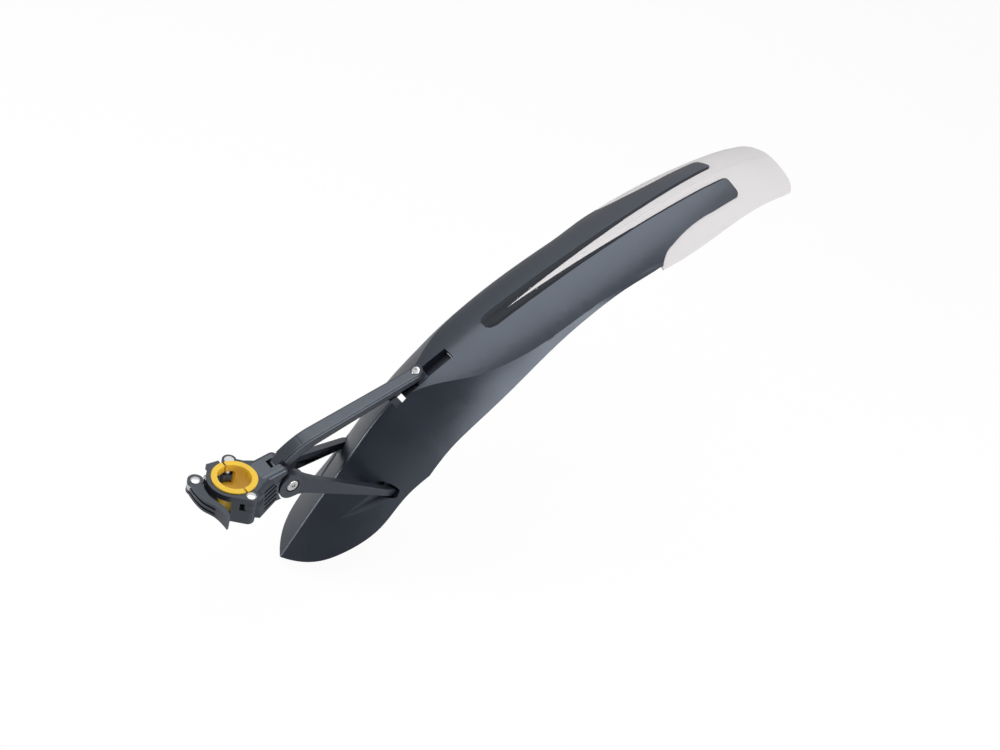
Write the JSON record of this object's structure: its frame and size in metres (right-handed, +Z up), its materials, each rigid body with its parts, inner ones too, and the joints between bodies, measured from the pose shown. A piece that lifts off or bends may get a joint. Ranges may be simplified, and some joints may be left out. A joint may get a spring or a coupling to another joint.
{
  "type": "bicycle mudguard",
  "caption": "Clip-on rear mudguard: curved dark blade with a pale tail, hung on an arm and struts from a hinged seatpost clamp with a lever, so its height can be set.",
  "frame": {"origin": "on the seatpost axis, at the middle of the clamp's height", "axes": "+Z up along the seatpost axis, +X to the rear along the blade to its tail, -Y to the rider's left"},
  "size_m": [0.5839, 0.0978, 0.3364],
  "materials": {
    "blade_plastic": "satin black moulded plastic",
    "tail_plastic": "frosted off-white translucent plastic",
    "frame_plastic": "fine-grained black glass-filled plastic",
    "shim_plastic": "smooth yellow plastic",
    "steel": "turned, bright"
  },
  "bodies": {
    "bracket": {"bracket": "frame_plastic", "shim_rear": "shim_plastic", "jaw_pin": "steel", "arm_pin": "steel", "strut_screw_left": "steel", "strut_screw_right": "steel"},
    "jaw": {"clamp_jaw": "frame_plastic", "shim_front": "shim_plastic"},
    "bolt": {"swing_bolt": "steel", "bolt_barrel": "steel"},
    "lever": {"lever": "frame_plastic", "lever_pin": "steel"},
    "arm": {"arm": "frame_plastic", "slide_shoe": "frame_plastic", "slide_screw": "steel", "slide_nut": "steel"},
    "struts": {"strut_left": "frame_plastic", "strut_right": "frame_plastic"},
    "guard": {"guard_base": "blade_plastic", "guard_tail": "tail_plastic", "strut_pin_left": "steel", "strut_pin_right": "steel"}
  },
  "joints": [
    {"name": "arm_hinge", "type": "hinge", "parent": "bracket", "child": "arm", "pos_m": [0.0385, 0, 0.0125], "axis": [0, 1, 0], "range_deg": [-12, 10]},
    {"name": "guard_slide", "type": "slide", "parent": "arm", "child": "guard", "axis": [0.7786, 0, 0.6275], "range_m": [-0.0042, 0.0035]},
    {"name": "strut_hinge", "type": "hinge", "parent": "bracket", "child": "struts", "pos_m": [0.0483, 0, -0.0021], "axis": [0, 1, 0], "range_deg": [-11.7, 9.8]},
    {"name": "bolt_swing", "type": "hinge", "parent": "bracket", "child": "bolt", "pos_m": [0.007, 0.02, 0], "axis": [0, 0, 1], "range_deg": [-55, 0]},
    {"name": "jaw_hinge", "type": "hinge", "parent": "bracket", "child": "jaw", "pos_m": [0.002, -0.0224, 0], "axis": [0, 0, 1], "range_deg": [0, 27.6]},
    {"name": "lever_hinge", "type": "hinge", "parent": "bolt", "child": "lever", "pos_m": [-0.0267, 0.0128, 0.004], "axis": [0, 0, 1], "range_deg": [-100, 0]}
  ],
  "couplings": [
    {"joint": "guard_slide", "follows": "arm_hinge", "m_per_rad": 0.019681},
    {"joint": "strut_hinge", "follows": "arm_hinge", "ratio": 0.96803},
    {"joint": "jaw_hinge", "follows": "bolt_swing", "ratio": -0.5}
  ]
}
